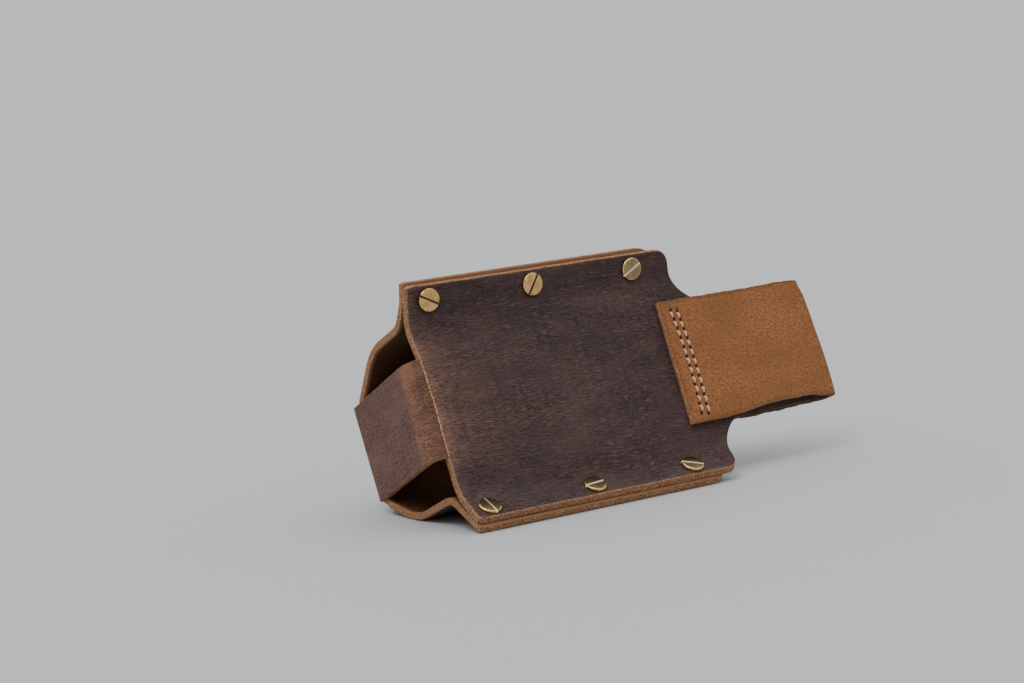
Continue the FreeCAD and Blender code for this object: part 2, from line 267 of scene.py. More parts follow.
class Sheet:
    """A thick sheet made from a grid of points on its grain side, with rounded cut edges all round.

    Each row of the grid becomes a closed ring: grain side, far edge, flesh side, near edge. An end that is
    cut has more rings, which round it off.
    """

    PROFILE = [(-EDGE_ROUND * (1 - math.sin(b)), EDGE_ROUND * (1 - math.cos(b)))
               for b in (math.radians(a) for a in (0, 30, 60, 90))]     # (outwards, down) round a cut edge
    FLESH_SHARE = FLESH_ROUND / EDGE_ROUND
    EDGE_POINTS = 2 * len(PROFILE[1:]) + 1      # of a ring, on each of its two edges

    def __init__(self, grid, marks, thickness, flip, cut_ends=(True, True), normals=None):
        self.grid = np.asarray(grid, float)
        self.marks = np.asarray(marks, float)
        self.rows, self.columns, _ = self.grid.shape
        self.thickness = np.broadcast_to(thickness, (self.rows, self.columns)).astype(float)
        self.cut_ends = cut_ends
        along, across, normal = grid_directions(self.grid)
        if flip:
            normal = -normal
        if normals is not None:
            normal = np.asarray(normals, float)
        self.normal = normal
        self.rims = {end: self.rim_ways(along, across, end) for end in (0, -1)}
        self.along = along / np.linalg.norm(along, axis=2, keepdims=True)

    def rim_ways(self, along, across, end):
        """Which way is out of the sheet at one of its two long edges, row by row."""
        ways = np.cross(along[:, end], self.normal[:, end])
        ways /= np.linalg.norm(ways, axis=1, keepdims=True)
        beyond = across[:, end] * (1 if end else -1)
        return -ways if np.sum(ways * beyond) < 0 else ways

    def drawn_in(self, i, j, share=1.0):
        """How a rim's point moves inwards to leave room for its rounding."""
        if j == 0:
            return self.rims[0][i] * self.PROFILE[0][0] * share
        if j == self.columns - 1:
            return self.rims[-1][i] * self.PROFILE[0][0] * share
        return 0.0

    def edge_steps(self, i, end, inset):
        """(outwards, down) of the points of an edge, from the grain side to the flesh side."""
        thick = self.thickness[i, end] - 2 * inset
        steps = [(out, min(down, thick / 2)) for out, down in self.PROFILE[1:]]
        steps += [(0.0, thick / 2)]
        share = self.FLESH_SHARE
        return steps + [(out * share, thick - down * share) for out, down in reversed(steps[:-1])]

    def ring(self, i, push=0.0, inset=0.0, direction=1):
        """The points and marks of one ring, pushed along the sheet and set in from both faces."""
        base = self.grid[i] + self.along[i] * push * direction
        normal, marks = self.normal[i], self.marks[i]
        depth = self.thickness[i][:, None]
        top = base - normal * inset
        under = base - normal * (depth - inset)
        ring = [(top[j] + self.drawn_in(i, j), marks[j]) for j in range(self.columns)]
        for end, rim in ((self.columns - 1, -1), (0, 0)):
            steps = self.edge_steps(i, end, inset)
            if end == 0:
                ring += [(under[j] + self.drawn_in(i, j, self.FLESH_SHARE), marks[j])
                         for j in range(self.columns - 1, -1, -1)]
                steps = steps[::-1]
            for out, down in steps:
                point = base[end] - normal[end] * (inset + down) + self.rims[rim][i] * out
                ring.append((point, marks[end]))
        return ring

    def rings(self):
        """Every ring, from the sheet's start to its end."""
        start_cut, end_cut = self.cut_ends
        plan = []
        if start_cut:
            plan += [(0, EDGE_ROUND + out, down, -1) for out, down in reversed(self.PROFILE[1:])]
        plan.append((0, 0.0, 0.0, -1))
        plan += [(i, 0.0, 0.0, 1) for i in range(1, self.rows)]
        if end_cut:
            plan += [(self.rows - 1, EDGE_ROUND + out, down, 1) for out, down in self.PROFILE[1:]]
        return [self.ring(*step) for step in plan]

    def faces(self, count, size):
        """The faces between the rings and over both ends, and the material of each."""
        start_cut, end_cut = self.cut_ends
        columns, rounding = self.columns, len(self.PROFILE)
        flesh = columns + self.EDGE_POINTS      # the first point of the flesh side
        faces, kinds = [], []
        for r in range(count - 1):
            at_end = (start_cut and r < rounding - 1) or (end_cut and r >= count - rounding)
            for k in range(size):
                a, b = r * size + k, r * size + (k + 1) % size
                faces.append((a, b, b + size, a + size))
                kind = EDGE
                if not at_end and k < columns - 1:
                    kind = GRAIN
                elif not at_end and flesh <= k < flesh + columns - 1:
                    kind = FLESH
                kinds.append(kind)
        for base, order in ((0, -1), ((count - 1) * size, 1)):
            for j in range(columns - 1):
                below = base + flesh + columns - 1 - j
                faces.append((base + j, base + j + 1, below - 1, below)[::order])
            far = tuple(base + columns - 1 + k for k in range(self.EDGE_POINTS + 2))
            near = tuple(base + (flesh + columns - 1 + k) % size for k in range(self.EDGE_POINTS + 2))
            faces += [far[::order], near[::order]]
        return faces, kinds + [EDGE] * (len(faces) - len(kinds))

    def build(self, name, materials):
        rings = self.rings()
        faces, kinds = self.faces(len(rings), len(rings[0]))
        marks = np.array([mark for ring in rings for _, mark in ring])
        mesh = new_mesh(name, np.array([point for ring in rings for point, _ in ring]), faces, materials)
        mesh.polygons.foreach_set("material_index", kinds)
        add_vectors(mesh, "hide", marks[:, :3])
        for index, label in ((3, "rim"), (4, "pull"), (5, "pit")):
            extra = mesh.attributes.new(label, "FLOAT", "POINT")
            extra.data.foreach_set("value", marks[:, index].astype(np.float32))
        return new_piece(name, mesh)


# The leather

def contour(side):
    """(along, half width over the hide) of the edge on one side, from the bottom fold past the neck."""
    at_edge, at_strip = SHOULDERS[side]
    edge, strip = PANEL_WIDTH / 2, LOOP_WIDTH / 2
    corner = RoundedPath([(0, edge), (at_edge, edge), (at_strip, strip), (at_strip + 40, strip)],
                         [SHOULDER_RADII[side], NECK_RADIUS])
    begin, end = corner.runs[1][1], corner.runs[4][1]
    outline = [(u, edge - 0.45 * (1 - smooth(u, 0, 1.6))) for u in FOLD_ROWS]
    outline += [(u, edge) for u in np.linspace(3.6, begin - 1, STRAIGHT_ROWS)]
    outline += [tuple(corner.at(s)[0]) for s in np.linspace(begin, end, 34)]
    return [(u, reach_of(side, half)) for u, half in outline]


def loop_path():
    """The grain side of the hide from the neck, round the loop's fold, to the sewn end: (along, deep)."""
    half = (CAD_THICKNESS + LAYER_CLEARANCE) / 2
    middle = CAD_THICKNESS + LOOP_GAP - half
    inner = middle - CAD_THICKNESS / 2
    outer = -half + CAD_THICKNESS / 2
    tip = LOOP_TIP - CAD_THICKNESS
    fold = (inner - outer) / 2
    corners = [(NECK_START, 0.0), (131.0, 0.0), (147.0, inner), (tip, inner), (tip, outer), (LOOP_END, outer)]
    return RoundedPath(corners, [14.0, 14.0, fold * 0.99, fold * 0.99])


def screw_sites():
    """(side, number, along, across distance over the hide, slot angle) of each screw."""
    return [
        (side, number, along, flange_bend(side) + SCREW_FROM_BEND, angle)
        for side in (1, -1)
        for number, (along, angle) in enumerate(zip(SCREW_PLACES[side], SLOT_ANGLES[side]), start=1)
    ]


def stitch_holes():
    """(along, across) of every stitch hole."""
    middle = STITCH_COUNT / 2
    return [(u, (k - middle) * STITCH_PITCH + shift)
            for u, shift in SEAM_ROWS for k in range(STITCH_COUNT + 1)]


def bow(across):
    """How far the seam's rows bow away from the sewn end at a distance across."""
    return 0.9 * (1 - (across / 21.0) ** 2) - 0.5


HOLES = np.array(stitch_holes())
SCREWS = np.array([(u, side * reach) for side, _, u, reach, _ in screw_sites()])


def sunk(along, across):
    """How far the leather is pressed in round the screws."""
    distance = np.hypot(SCREWS[:, 0] - along, SCREWS[:, 1] - across)
    return float(np.sum(0.28 * np.exp(-((distance - 4.6) / 1.3) ** 2)))


def columns_across():
    """Fractions of the half width, closer together where the seam's stitches are."""
    inner = np.linspace(-0.92, 0.92, 107)
    rims = np.array([0.935, 0.95, 0.965, 0.98, 0.99, 1.0])
    return np.concatenate([-rims[::-1], inner, rims])


def crease_pull(along, reach):
    """How far the wax is pulled up beside the bottom fold."""
    broad = (0.42 * math.exp(-along / 17) + 0.28 * math.exp(-along / 3)) * (1 - smooth(abs(reach), 12, 34))
    return broad + 0.16 * math.exp(-along / 4)


def on_hide(along, reach, path):
    """(along, deep, across) of a place on the back panel or the neck."""
    deep, across = back_section(along, reach)
    if along > NECK_START:
        (along, bend), _ = path.at(along - NECK_START)
        deep += bend
    return along, deep, across


def panel_normal(along, reach, path):
    """Which way the back panel's grain side looks at a place on the hide."""
    step = 0.4

    def spot(u, q):
        return np.array(on_hide(u, q, path))

    ahead = spot(along + step, reach) - spot(along - step, reach)
    aside = spot(along, reach + step) - spot(along, reach - step)
    way = np.cross(ahead, aside)
    return way / np.linalg.norm(way)


def panel_rows(path, spread):
    """Points, marks, depths and normals of the back panel and the neck, row by row."""
    top, bottom = contour(1), contour(-1)
    grid, marks, ways = [], [], []
    shoulders_from = len(FOLD_ROWS) + STRAIGHT_ROWS
    flat_end = 0.5 * (top[shoulders_from - 1][0] + bottom[shoulders_from - 1][0])
    count = len(top)
    for k in range(count):
        row, mark, way = [], [], []
        (ut, ht), (ub, hb) = top[k], bottom[k]
        middle = 0.5 * (ut + ub)
        if k >= shoulders_from:
            t = (k - shoulders_from + 1) / (count - shoulders_from)
            middle = flat_end + t * (NECK_END - flat_end)
        for f in spread:
            side_u, half = (ut, ht) if f >= 0 else (ub, hb)
            u = middle + (side_u - middle) * abs(f) ** 3
            q = half * f
            u_real, deep, across = on_hide(u, q, path)
            wave = 0.42 * wavy((u * 0.45, q, 0), 15, 1.7) + 0.10 * wavy((u * 0.5, q, 0), 5, 5.1)
            wave *= 1 - 0.9 * smooth(u, 100, 116) * (1 - smooth(abs(q), 26, 30))
            wave *= 1 - 0.85 * smooth(abs(q), 34, 41)
            lift = -wave + sunk(u, q)
            wobble = 0.16 * wavy((u, q, 9), 7, 2.2) * smooth(abs(f), 0.8, 1.0)
            row.append((u_real, deep + lift, across + wobble))
            way.append(panel_normal(u, q, path))
            rim = min((1 - abs(f)) * half, u if abs(q) > HALF_STRAP else u + 0.25)
            mark.append((u, q, 0.0, rim, crease_pull(u, q), 0.0))
        grid.append(row)
        marks.append(mark)
        ways.append(way)
    return grid, marks, [[THICKNESS] * len(spread)] * count, ways


def loop_rows(path, spread):
    """Points, marks, depths and normals of the belt loop, row by row round its fold to the sewn end."""
    grid, marks, depths, ways = [], [], [], []
    sewn = path.length - 14.0       # from here on the rows stand closer together
    lengths = np.concatenate([np.arange(LOOP_FROM, sewn, 0.9),
                              np.linspace(sewn, path.length - EDGE_ROUND, 34)])
    half = LOOP_WIDTH / 2
    for s in lengths:
        row, mark, depth = [], [], []
        (x, deep), (tx, ty) = path.at(s)
        returned = s > path.length / 2
        turned_back = smooth(s, path.length / 2 - 6, path.length / 2 + 6)
        near_tip = smooth(x, 150, 188)
        for f in spread:
            q = half * f
            wave = 0.30 * wavy((s, q, 20), 20, 3.3) + 0.08 * wavy((s, q, 20), 6, 8.1)
            wobble = 0.30 * wavy((s, q, 31), 5, 1.2) * smooth(abs(f), 0.85, 1.0)
            wobble += 0.22 * wavy((s, q, 37), 1.6, 6.2) * smooth(abs(f), 0.93, 1.0)
            if f < 0:
                outer = 2.7 * smooth(x, 127, 160) - 0.9 * smooth(x, 176, 188)
                wobble += (outer * turned_back + 1.2 * near_tip * (1 - turned_back)) * abs(f)
            else:
                wobble += 0.6 * near_tip * f
            slant = 0.0
            if returned:
                wave *= smooth(x, 120, 140)
                slant = (0.1 + 0.85 * f) * (1 - smooth(x, LOOP_END, 132))
            back_set = smooth(x, 170, 188) + 0.4 * smooth(x, 140, 175) * smooth(f, 0.2, 1.0)
            back_set *= turned_back
            tip_bulge = (1.0 * (1 - f * f) - 0.9 * smooth(f, 0.7, 1.0)) * smooth(x, 176, 190)
            wobble -= 0.9 * smooth(f, 0.6, 1.0) * smooth(x, 180, 190)
            row.append((x + ty * -wave + slant + tip_bulge, deep + tx * wave + back_set, q + wobble))
            rim = min((1 - abs(f)) * half, path.length - s)
            pit, thin = 0.0, 0.0
            if returned and x < 130:
                rise, run = HOLES[:, 0] + bow(HOLES[:, 1]) - x, HOLES[:, 1] - q
                pit = float(np.exp(-np.min((rise / 0.55) ** 2 + (run / 0.95) ** 2)))
                thin = 0.75 * (1 - smooth(x, LOOP_END, 118.5)) + 0.22 * (1 - smooth(x, 118, 127))
            mark.append((NECK_START + s, q, 1.0, rim, 0.0, pit))
            depth.append(THICKNESS - thin - 0.85 * pit)
        grid.append(row)
        marks.append(mark)
        depths.append(depth)
        ways.append([(ty, -tx, 0.0)] * len(spread))
    return grid, marks, depths, ways


def back_hide(materials):
    """The back panel, neck and belt loop, in one bent sheet."""
    path, spread = loop_path(), columns_across()
    stretches = zip(panel_rows(path, spread), loop_rows(path, spread))
    grid, marks, depths, ways = [first + second for first, second in stretches]
    sheet = Sheet(grid, marks, np.array(depths), flip=False, normals=ways)
    return sheet.build("hide_back_and_loop", materials)


def belly_path(side, at_fold):
    """Half of the front panel's grain side across the pouch, from the flange's edge to the middle."""
    tilt = FLANGE_TILTS[side]
    tip = flange_point(side, FLANGE_REACH + FRONT_OVERHANG[side], 2 * CAD_THICKNESS)
    far = BELLY_DEPTH - 0.5
    if at_fold and side > 0:
        held = (tip[0] + (tip[1] - 44.5) * math.tan(tilt) + 0.3, 44.5)
        return RoundedPath([tip, held, (11.4, 37.3), (35.3, 36.7), (far, 14.8), (far, 0)],
                           [8.0, 9.0, 26.0, 6.0])
    if at_fold:
        return RoundedPath([tip, (10.0, 36.2), (38.0, 35.9), (far, 20.2), (far, 0)], [6.5, 30.0, 5.0])
    foot = (tip[0] + (tip[1] - HALF_BELLY) * math.tan(tilt), HALF_BELLY)
    eighth = HALF_BELLY * math.tan(math.pi / 8)
    wall = BELLY_DEPTH - HALF_BELLY + eighth
    round_off = HALF_BELLY * 0.99
    return RoundedPath([tip, foot, (wall, HALF_BELLY), (BELLY_DEPTH, eighth), (BELLY_DEPTH, 0)],
                       [6.0, round_off, round_off])


def front_hide(materials):
    """The front panel with its belly."""
    paths = {(side, start): belly_path(side, start) for side in (1, -1) for start in (True, False)}
    held = FLANGE_REACH + FRONT_OVERHANG[1] + 9.0
    flange_steps = np.concatenate([[0.0, 0.4, 0.8, 1.4, 2.0], np.arange(3.0, held, 1.1)])
    belly_steps = np.linspace(0, 1, 46)
    stations = np.concatenate([[0.40, 0.9, 1.6, 2.4], np.arange(3.6, FRONT_LENGTH - 3, 1.25),
                               FRONT_LENGTH - np.array([3.0, 2.0, 1.2, 0.55])])
    grid, marks = [], []
    for u in stations:
        share = smooth(u, 0, ROUND_FROM + 8)
        halves = {}
        for side in (1, -1):
            square, rounded = paths[(side, True)], paths[(side, False)]
            half_points = []
            corner = FRONT_LENGTH - FRONT_CORNER
            trim = 0.0
            if u > corner:
                trim = FRONT_CORNER - math.sqrt(max(FRONT_CORNER ** 2 - (u - corner) ** 2, 0.0))
            trim += 0.4 * (1 - smooth(u, 0, 1.6))
            distances = [trim + s * (held - trim) / held for s in flange_steps]
            for s in distances:
                a = square.at(s)[0] * (1 - share) + rounded.at(s)[0] * share
                half_points.append((a, s))
            for t in belly_steps:
                sa = held + t * (square.length - held)
                sb = held + t * (rounded.length - held)
                a = square.at(sa)[0] * (1 - share) + rounded.at(sb)[0] * share
                half_points.append((a, sa))
            halves[side] = half_points
        ends = {side: paths[(side, True)].length for side in (1, -1)}
        row, mark = [], []
        ordered = [(p[0], p[1], s - ends[1]) for p, s in halves[1]]
        ordered += [(p[0], -p[1], ends[-1] - s) for p, s in reversed(halves[-1][:-1])]
        for deep, across, q in ordered:
            from_edge = (ends[1] + q) if q < 0 else (ends[-1] - q)
            rim = min(from_edge, FRONT_LENGTH - u, u if abs(across) > HALF_STRAP or deep < 55 else 99)
            behind_strap = 1.5 * smooth(deep, 55, 60.5) * (1 - smooth(u, 0, 14))
            row.append((u + behind_strap, deep, across))
            mark.append((u, q, 2.0, rim, 0.35 * math.exp(-u / 5), 0.0))
        grid.append(row)
        marks.append(mark)
    grid, marks = np.array(grid), np.array(marks)
    normal = grid_directions(grid)[2]
    for i in range(grid.shape[0]):
        for j in range(grid.shape[1]):
            u, q = marks[i, j, 0], marks[i, j, 1]
            from_edge = (ends[1] + q) if q < 0 else (ends[-1] - q)
            free = smooth(from_edge, held - 8, held + 6)
            ripple = 0.5 * wavy((u, q, 50), 30, 4.4) + 0.12 * wavy((u, q, 50), 10, 7.7)
            ripple *= free * 0.8 + 0.06
            grid[i, j] += normal[i, j] * ripple * 0.6
    flip = not (normal[len(stations) // 2, grid.shape[1] // 2][1] > 0)
    return Sheet(grid, marks, THICKNESS, flip=flip).build("hide_front", materials)


def fold_wave(reach):
    """How far the back panel's surface waves outwards along the bottom fold."""
    return 0.42 * wavy((0, reach, 0), 15, 1.7) + 0.10 * wavy((0, reach, 0), 5, 5.1)


def strap_hide(materials):
    """The bottom strap between the two panels."""
    grid, marks = [], []
    rims = np.array([0.94, 0.965, 0.985, 1])
    fractions = np.concatenate([-rims[::-1], np.linspace(-0.9, 0.9, 37), rims])
    paths = []
    for f in fractions:
        t = (1 - f) / 2
        panel_deep, panel_across = back_section(0, f * HALF_STRAP)
        panel_deep -= fold_wave(f * HALF_STRAP)
        bulge = (-6.4 - 2.7 * t, 0.9 - 1.9 * t + 0.5 * panel_deep)
        far = (0.9 - 0.3 * t, BELLY_DEPTH - 0.6)
        begin, bend = (0.9, panel_deep + 0.62), (0.2, panel_deep + 0.22)
        paths.append(RoundedPath([begin, bend, bulge, far, (2.9, far[1])], [0.3, 6.5, 0.8]))
    steps = np.concatenate([np.linspace(0, 0.03, 5), np.linspace(0.04, 0.93, 70), np.linspace(0.94, 1, 10)])
    for t in steps:
        row, mark = [], []
        for f, path in zip(fractions, paths):
            s = t * path.length
            (x, deep), (tx, ty) = path.at(s)
            q = f * HALF_STRAP
            swell = 0.35 * wavy((s, q, 70), 18, 2.9) * smooth(t, 0.03, 0.15) * (1 - smooth(t, 0.85, 0.97))
            wobble = 0.15 * wavy((s, q, 77), 6, 1.9) * smooth(abs(f), 0.85, 1.0)
            row.append((x + swell, deep, q + wobble))
            stripe = math.exp(-((deep - 6.0) / 3.4) ** 2) if x < -3.5 else 0.0
            fold = math.exp(-((t - 0.965) / 0.03) ** 2)
            mark.append((-s, q, 3.0, (1 - abs(f)) * HALF_STRAP, 0.44 + 0.60 * stripe + 0.25 * fold, 0.0))
        grid.append(row)
        marks.append(mark)
    grid, marks = np.array(grid), np.array(marks)
    near_ends = np.minimum(steps / 0.03, (1 - steps) / 0.10).clip(0.35, 1.0)
    thickness = THICKNESS * near_ends[:, None] * np.ones((1, len(fractions)))
    along = grid[40, 22] - grid[39, 22]
    across = grid[40, 23] - grid[40, 22]
    flip = np.cross(along, across)[0] > 0
    sheet = Sheet(grid, marks, thickness, flip=flip, cut_ends=(False, False))
    return sheet.build("hide_bottom_strap", materials)


def crease_line(materials):
    """The raw edge of the scored fold, a thin pale line between the strap and the back panel."""
    points = []
    steps, sides, radius = 120, 10, 0.30
    for k in range(steps + 1):
        q = HALF_STRAP * (2 * k / steps - 1)
        deep, across = back_section(0, q)
        lift = fold_wave(q)
        thick = radius * (1 + 0.18 * wavy((0, q, 90), 2.5, 4.9))
        for j in range(sides):
            a = 2 * math.pi * j / sides
            points.append((0.05 + thick * math.cos(a), deep - lift + 0.02 + thick * math.sin(a), across))
    mesh = new_mesh("crease_line", points, tube_faces(0, steps + 1, sides), materials)
    return new_piece("crease_line", mesh)


# Metal and thread

def head(name, site, slotted, materials):
    """A screw's slotted head on the grain side, or a post's plain head on the front panel's flange."""
    side, _, along, _, angle = site
    radius, rim, dome = HEAD_RADIUS, 1.2, 0.06
    slot_half, slot_depth, roll = 0.40, 0.85, 0.6
    if slotted:
        walls = [slot_half - 0.03, slot_half + 0.03, slot_half + 0.1]
        across = [0.0, 0.15] + walls + list(np.linspace(0.7, radius - 0.6, 9))
    else:
        across = list(np.linspace(0.0, radius - 0.6, 13))
    across += [radius - inward for inward in (0.5, 0.4, 0.3, 0.2, 0.12, 0.06, 0.02)]
    columns = [-a for a in reversed(across[1:])] + across
    count = 41
    spread = [math.sin(math.pi / 2 * t) for t in np.linspace(-1, 1, count)]

    def height(x, y):
        r = min(math.hypot(x, y), radius)
        top = rim + dome * (1 - (r / radius) ** 2)
        if r > radius - roll:
            into = r - (radius - roll)
            top -= roll - math.sqrt(max(roll * roll - into * into, 0))
        if slotted and abs(x) < slot_half:
            top = rim + dome - slot_depth
        elif slotted and abs(x) < slot_half + 0.1:
            top -= 0.06 * (1 - (abs(x) - slot_half) / 0.1)
        return top

    points, faces = [], []
    for x in columns:
        half = math.sqrt(max(radius ** 2 - x * x, 1e-4))
        for t in spread:
            points.append((x, half * t, height(x, half * t)))
    rows = len(columns)
    for i in range(rows - 1):
        for j in range(count - 1):
            a = i * count + j
            faces.append((a, a + count, a + count + 1, a + 1))
    border = [i * count for i in range(rows)]
    border += [(rows - 1) * count + j for j in range(1, count)]
    border += [i * count + count - 1 for i in range(rows - 2, -1, -1)]
    border += [j for j in range(count - 2, 0, -1)]
    base = len(points)
    for index in border:
        x, y, _ = points[index]
        points.append((x, y, -0.25))
    total = len(border)
    for k in range(total):
        following = (k + 1) % total
        faces.append((border[k], base + k, base + following, border[following]))
    faces.append(tuple(range(base, base + total))[::-1])
    tilt = FLANGE_TILTS[side]
    out = np.array([0, -math.cos(tilt), -side * math.sin(tilt)])
    ahead = np.array([1.0, 0, 0])
    aside = np.cross(out, ahead)
    deep, across_at = flange_point(side, SCREW_FROM_BEND, 0 if slotted else 2 * CAD_THICKNESS)
    seat = np.array([along, deep, side * across_at])
    if not slotted:
        out, aside = -out, -aside
    turn = math.radians(angle)
    x_axis = -ahead * math.sin(turn) + aside * math.cos(turn)
    y_axis = ahead * math.cos(turn) + aside * math.sin(turn)
    local = np.array(points)
    placed = seat + local[:, :1] * x_axis + local[:, 1:2] * y_axis + local[:, 2:] * out
    mesh = new_mesh(name, placed, faces, materials)
    add_vectors(mesh, "turned", local)
    obj = new_piece(name, mesh)
    for polygon in obj.data.polygons:
        spots = [local[v] for v in polygon.vertices]
        if min(spot[2] for spot in spots) < 0:
            continue
        if slotted and all(abs(spot[0]) < slot_half + 0.04 for spot in spots):
            polygon.material_index = 1
        elif slotted and all(math.hypot(spot[0], spot[1]) < radius - 0.45 for spot in spots):
            polygon.material_index = 2
    obj.data.set_sharp_from_angle(angle=math.radians(38))
    return obj


def thread_row(name, row, materials):
    """The stitches of one row on both sides of the seam, each a short run of twisted thread."""
    u, shift = SEAM_ROWS[row]
    middle = STITCH_COUNT / 2
    points, faces, marks = [], [], []
    sides, steps = 10, 14
    radius = 0.46

    def tube(line, twist):
        base = len(points)
        line = np.array(line)
        for k, centre in enumerate(line):
            ahead = line[min(k + 1, len(line) - 1)] - line[max(k - 1, 0)]
            ahead /= np.linalg.norm(ahead)
            one = np.cross(ahead, (1.0, 0.0, 0.0))
            one /= np.linalg.norm(one)
            two = np.cross(ahead, one)
            for j in range(sides):
                a = 2 * math.pi * j / sides
                lobe = 1 + 0.13 * math.cos(3 * (a + twist + k * 0.42))
                points.append(centre + (one * math.cos(a) + two * math.sin(a)) * radius * lobe)
                marks.append((k * 0.3, a, twist))
        faces.extend(tube_faces(base, len(line), sides))

    for k in range(STITCH_COUNT):
        low = (k - middle) * STITCH_PITCH + shift
        for surface, sign, level in ((-CAD_THICKNESS, -1, 0.10), (CAD_THICKNESS, 1, 0.26)):
            line = []
            for step in range(steps + 1):
                t = step / steps
                rise = level - 1.25 * abs(2 * t - 1) ** 2.6
                slant = 0.30 * (t - 0.5) * sign
                across = low + STITCH_PITCH * (0.22 + 0.56 * t)
                along = u + bow(across) + slant + 0.08 * wavy((k, step, row), 3.1)
                line.append((along, surface + sign * rise, across))
            tube(line, k * 1.3 + row)
    mesh = new_mesh(name, points, faces, materials)
    add_vectors(mesh, "strand", marks)
    return new_piece(name, mesh)


# Materials

RANGE_INPUTS = ("From Min", "From Max", "To Min", "To Max")


class Nodes:
    """Short ways to add and join shader nodes."""

    def __init__(self, name):
        self.material = bpy.data.materials.new(name)
        self.material.use_nodes = True
        self.tree = self.material.node_tree
        self.tree.nodes.clear()
        self.output = self.add("ShaderNodeOutputMaterial")
        self.shader = self.add("ShaderNodeBsdfPrincipled")
        self.join(self.shader.outputs["BSDF"], self.output.inputs["Surface"])

    def add(self, kind, **settings):
        node = self.tree.nodes.new(kind)
        for key, value in settings.items():
            setattr(node, key, value)
        return node

    def join(self, source, target):
        self.tree.links.new(source, target)

    def put(self, value, socket):
        if isinstance(value, bpy.types.NodeSocket):
            self.join(value, socket)
        else:
            socket.default_value = value

    def attribute(self, name, output="Vector"):
        return self.add("ShaderNodeAttribute", attribute_name=name).outputs[output]

    def math(self, operation, a, b=0.0):
        node = self.add("ShaderNodeMath", operation=operation)
        self.put(a, node.inputs[0])
        self.put(b, node.inputs[1])
        return node.outputs[0]

    def times(self, a, b):
        return self.math("MULTIPLY", a, b)

    def look(self, name, value):
        """Sets or joins one of the shader's own sockets."""
        self.put(value, self.shader.inputs[name])

    def scaled(self, vector, scale, shift=(0, 0, 0)):
        node = self.add("ShaderNodeMapping", vector_type="POINT")
        self.join(vector, node.inputs["Vector"])
        node.inputs["Scale"].default_value = scale
        node.inputs["Location"].default_value = shift
        return node.outputs["Vector"]

    def noise(self, vector, scale, detail=3.0, rough=0.5, distortion=0.0, shift=(0, 0, 0), output="Fac"):
        node = self.add("ShaderNodeTexNoise")
        self.join(self.scaled(vector, scale, shift), node.inputs["Vector"])
        node.inputs["Scale"].default_value = 1.0
        node.inputs["Detail"].default_value = detail
        node.inputs["Roughness"].default_value = rough
        node.inputs["Distortion"].default_value = distortion
        return node.outputs[output]

    def cells(self, vector, scale):
        node = self.add("ShaderNodeTexVoronoi")
        self.join(vector, node.inputs["Vector"])
        node.inputs["Scale"].default_value = scale
        return node.outputs["Distance"]

    def ramp(self, value, stops):
        node = self.add("ShaderNodeValToRGB")
        elements = node.color_ramp.elements
        while len(elements) < len(stops):
            elements.new(0.5)
        for element, (position, colour) in zip(elements, stops):
            element.position = position
            element.color = (*colour, 1.0)
        self.join(value, node.inputs["Fac"])
        return node.outputs["Color"]

    def range(self, value, low, high, out_low=0.0, out_high=1.0):
        node = self.add("ShaderNodeMapRange", clamp=True)
        self.join(value, node.inputs["Value"])
        for key, number in zip(RANGE_INPUTS, (low, high, out_low, out_high)):
            node.inputs[key].default_value = number
        return node.outputs["Result"]

    def mix(self, factor, a, b, blend="MIX"):
        node = self.add("ShaderNodeMix", data_type="RGBA", blend_type=blend)
        self.put(factor, node.inputs[0])
        self.put((*a, 1.0) if isinstance(a, tuple) else a, node.inputs[6])
        self.put((*b, 1.0) if isinstance(b, tuple) else b, node.inputs[7])
        return node.outputs[2]

    def bump(self, height, strength, distance_mm, normal=None):
        node = self.add("ShaderNodeBump")
        node.inputs["Strength"].default_value = strength
        node.inputs["Distance"].default_value = distance_mm / 1000
        self.join(height, node.inputs["Height"])
        if normal is not None:
            self.join(normal, node.inputs["Normal"])
        return node.outputs["Normal"]


